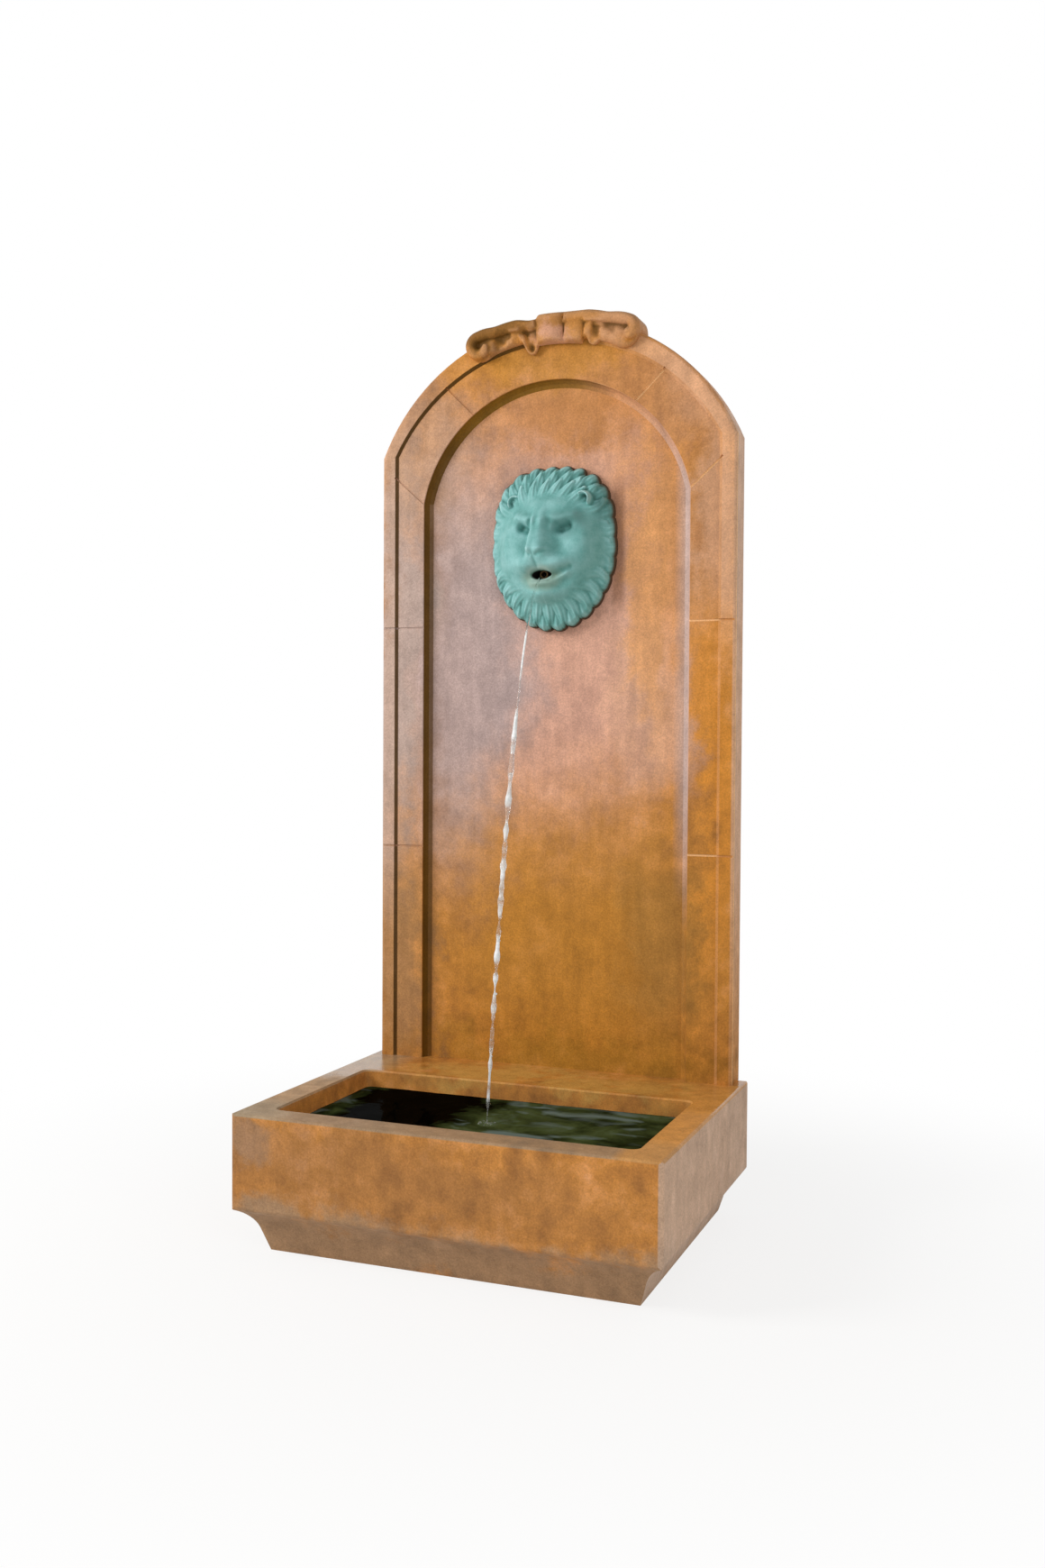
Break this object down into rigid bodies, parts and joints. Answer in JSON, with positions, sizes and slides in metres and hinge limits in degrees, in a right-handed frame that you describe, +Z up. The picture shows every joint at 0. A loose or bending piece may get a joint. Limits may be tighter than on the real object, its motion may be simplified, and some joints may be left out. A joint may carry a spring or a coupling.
{
  "type": "garden fountain",
  "caption": "Free-standing cast-stone wall fountain: undercut trough, arched back panel with scroll crest, verdigris lion mask spout, recirculating pump, hose and drain.",
  "frame": {"origin": "middle of the footprint, on the ground", "axes": "+Z up; the trough's open front and the lion's face look towards -Y; +X to the right of a viewer"},
  "size_m": [0.8, 0.61, 1.782],
  "materials": {
    "cast_stone": "rough cast stone, ochre wash",
    "verdigris_bronze": "matt verdigris",
    "stainless_steel": "satin",
    "brass": "dull",
    "rubber": "matt",
    "pump_plastic": "moulded",
    "grey_pvc": "moulded",
    "vinyl_hose": "smooth",
    "lamination_iron": "stacked sheet",
    "copper_winding": "enamelled wire",
    "ferrite_magnet": "sintered",
    "impeller_plastic": "moulded",
    "ceramic_shaft": "ground",
    "dial_plastic": "moulded",
    "plug_rubber": "matt"
  },
  "bodies": {
    "fountain": {"basin": "cast_stone", "back_panel": "cast_stone", "crest_ornament": "cast_stone", "crest_dowels": "stainless_steel", "panel_dowels": "stainless_steel", "lion_mask": "verdigris_bronze", "mask_studs": "stainless_steel", "mask_washers": "stainless_steel", "mask_nuts": "stainless_steel", "spout_tube": "brass", "spout_elbow": "brass", "spout_gasket": "rubber", "spout_locknut": "brass", "supply_hose": "vinyl_hose", "upper_hose_clamp": "stainless_steel", "lower_hose_clamp": "stainless_steel", "hose_clips": "pump_plastic", "hose_clip_screws": "stainless_steel", "pump_housing": "pump_plastic", "stator_core": "lamination_iron", "stator_coil": "copper_winding", "impeller_shaft": "ceramic_shaft", "shaft_bushings": "rubber", "volute_cover": "pump_plastic", "volute_seal": "rubber", "outlet_adaptor": "pump_plastic", "suction_cups": "rubber", "cord_gland": "pump_plastic", "drain_fitting": "grey_pvc", "drain_gasket": "rubber", "drain_locknut": "grey_pvc"},
    "rotor": {"rotor_magnet": "ferrite_magnet", "impeller": "impeller_plastic"},
    "strainer": {"strainer_cover": "pump_plastic"},
    "dial": {"flow_dial": "dial_plastic"},
    "plug": {"drain_plug": "plug_rubber"}
  },
  "joints": [
    {"name": "impeller_spin", "type": "hinge", "parent": "fountain", "child": "rotor", "pos_m": [-0.02, 0.225, 0.093], "axis": [1, 0, 0], "continuous": true},
    {"name": "strainer_slide", "type": "slide", "parent": "fountain", "child": "strainer", "axis": [1, 0, 0], "range_m": [0, 0.045]},
    {"name": "flow_dial_turn", "type": "hinge", "parent": "strainer", "child": "dial", "pos_m": [0.042, 0.225, 0.093], "axis": [1, 0, 0], "range_deg": [0, 90]},
    {"name": "drain_plug_lift", "type": "slide", "parent": "fountain", "child": "plug", "axis": [0, 0, 1], "range_m": [0, 0.08]}
  ]
}
